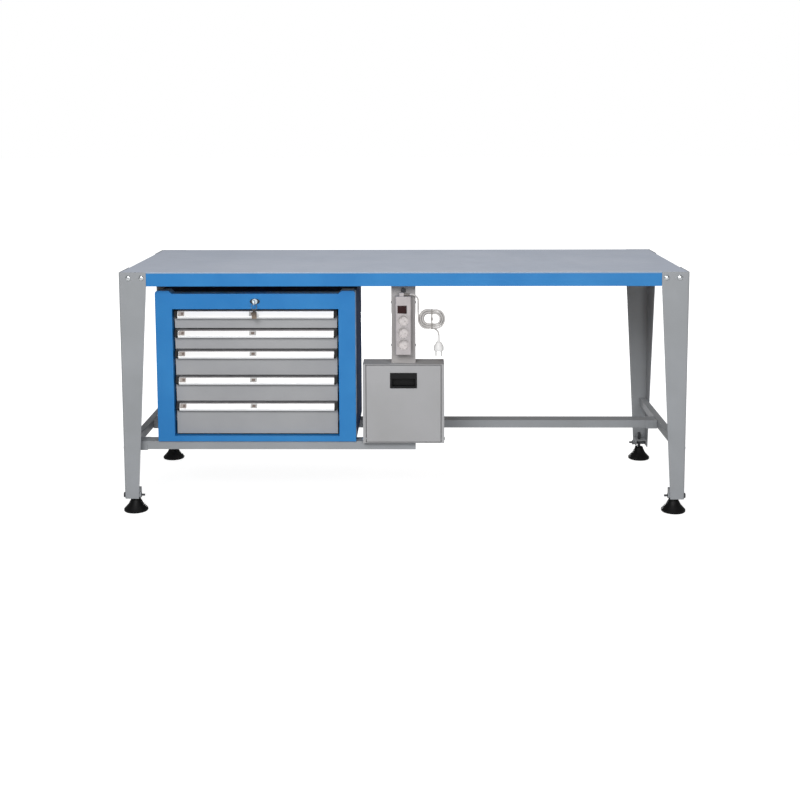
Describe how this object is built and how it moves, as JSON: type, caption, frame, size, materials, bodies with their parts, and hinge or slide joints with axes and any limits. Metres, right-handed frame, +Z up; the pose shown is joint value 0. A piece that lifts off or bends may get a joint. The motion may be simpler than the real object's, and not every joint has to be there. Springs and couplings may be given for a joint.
{
  "type": "workbench",
  "caption": "Steel workbench with a grey top edged in blue, folded tapered legs, a drawer cabinet, a post with a socket strip and a tilting box.",
  "frame": {"origin": "on the floor under the middle of the bench", "axes": "+X to the right seen from the front, +Y to the rear, +Z up"},
  "size_m": [2.022, 0.772, 0.87],
  "materials": {
    "leg_grey": "light grey powder coat",
    "box_grey": "light grey powder coat",
    "frame_blue": "blue powder coat",
    "drawer_grey": "warm grey powder coat",
    "top_sheet": "matt grey top sheet",
    "plywood": "plywood board",
    "zinc": "zinc-plated steel",
    "foot_plastic": "black moulded plastic",
    "grip_plastic": "black moulded plastic",
    "rocker_plastic": "dark red rocker",
    "strip_white": "off-white plastic",
    "cord_pvc": "soft off-white cord jacket",
    "handle_aluminium": "pale satin extrusion",
    "key_brass": "plated key",
    "fob_leather": "brown leather"
  },
  "bodies": {
    "root": {"worktop_surface": "top_sheet", "worktop_board": "plywood", "worktop_frame": "frame_blue", "leg_front_left": "leg_grey", "leg_front_right": "leg_grey", "leg_rear_left": "leg_grey", "leg_rear_right": "leg_grey", "foot_bracket_front_left": "zinc", "foot_bracket_front_right": "zinc", "foot_bracket_rear_left": "zinc", "foot_bracket_rear_right": "zinc", "side_stretcher_left": "leg_grey", "side_stretcher_right": "leg_grey", "centre_stretcher": "leg_grey", "front_rail": "leg_grey", "saddle_centre_left": "leg_grey", "saddle_centre_right": "leg_grey", "saddle_front_left": "leg_grey", "post": "leg_grey", "post_head_bracket": "leg_grey", "box_shell": "box_grey", "flap_pin_left": "zinc", "flap_pin_right": "zinc", "cabinet_frame": "frame_blue", "cabinet_shell": "frame_blue", "runner_rack_left": "zinc", "runner_rack_right": "zinc", "lock_body": "zinc", "strip_housing": "strip_white", "socket_1": "strip_white", "socket_2": "strip_white", "socket_3": "strip_white", "strip_cord_relief": "cord_pvc", "power_lead": "cord_pvc", "lead_hank": "cord_pvc", "plug_tail": "cord_pvc", "lead_plug": "strip_white", "hank_tie": "strip_white"},
    "drawer_1": {"drawer_1": "drawer_grey", "drawer_handle_1": "handle_aluminium"},
    "drawer_2": {"drawer_2": "drawer_grey", "drawer_handle_2": "handle_aluminium"},
    "drawer_3": {"drawer_3": "drawer_grey", "drawer_handle_3": "handle_aluminium"},
    "drawer_4": {"drawer_4": "drawer_grey", "drawer_handle_4": "handle_aluminium"},
    "drawer_5": {"drawer_5": "drawer_grey", "drawer_handle_5": "handle_aluminium"},
    "flap": {"box_flap": "box_grey", "flap_handle": "grip_plastic", "flap_pocket": "box_grey"},
    "rocker": {"strip_rocker": "rocker_plastic"},
    "key": {"lock_plug": "zinc", "lock_key": "key_brass"},
    "ring": {"key_ring": "zinc"},
    "fob": {"key_fob": "fob_leather"},
    "foot_front_left": {"foot_front_left": "foot_plastic"},
    "foot_front_right": {"foot_front_right": "foot_plastic"},
    "foot_rear_left": {"foot_rear_left": "foot_plastic"},
    "foot_rear_right": {"foot_rear_right": "foot_plastic"}
  },
  "joints": [
    {"name": "drawer_1_slide", "type": "slide", "parent": "root", "child": "drawer_1", "axis": [0, -1, 0], "range_m": [0, 0.34]},
    {"name": "drawer_2_slide", "type": "slide", "parent": "root", "child": "drawer_2", "axis": [0, -1, 0], "range_m": [0, 0.34]},
    {"name": "drawer_3_slide", "type": "slide", "parent": "root", "child": "drawer_3", "axis": [0, -1, 0], "range_m": [0, 0.34]},
    {"name": "drawer_4_slide", "type": "slide", "parent": "root", "child": "drawer_4", "axis": [0, -1, 0], "range_m": [0, 0.34]},
    {"name": "drawer_5_slide", "type": "slide", "parent": "root", "child": "drawer_5", "axis": [0, -1, 0], "range_m": [0, 0.34]},
    {"name": "flap_tilt", "type": "hinge", "parent": "root", "child": "flap", "pos_m": [0, -0.339, 0.2643], "axis": [1, 0, 0], "range_deg": [0, 14]},
    {"name": "rocker_tip", "type": "hinge", "parent": "root", "child": "rocker", "pos_m": [-0.004, -0.3573, 0.7355], "axis": [0, 0, 1], "range_deg": [0, 14]},
    {"name": "key_turn", "type": "hinge", "parent": "root", "child": "key", "pos_m": [-0.5275, -0.329, 0.7603], "axis": [0, 1, 0], "range_deg": [0, 90]},
    {"name": "ring_swing", "type": "hinge", "parent": "key", "child": "ring", "pos_m": [-0.5275, -0.3526, 0.744], "axis": [0, 1, 0], "range_deg": [-90, 0]},
    {"name": "fob_lift", "type": "hinge", "parent": "ring", "child": "fob", "pos_m": [-0.5275, -0.3526, 0.734], "axis": [-1, 0, 0], "range_deg": [0, 95]},
    {"name": "foot_front_left_screw", "type": "slide", "parent": "root", "child": "foot_front_left", "axis": [0, 0, -1], "range_m": [0, 0.025]},
    {"name": "foot_front_right_screw", "type": "slide", "parent": "root", "child": "foot_front_right", "axis": [0, 0, -1], "range_m": [0, 0.025]},
    {"name": "foot_rear_left_screw", "type": "slide", "parent": "root", "child": "foot_rear_left", "axis": [0, 0, -1], "range_m": [0, 0.025]},
    {"name": "foot_rear_right_screw", "type": "slide", "parent": "root", "child": "foot_rear_right", "axis": [0, 0, -1], "range_m": [0, 0.025]}
  ],
  "couplings": [
    {"joint": "ring_swing", "follows": "key_turn", "ratio": -1}
  ]
}
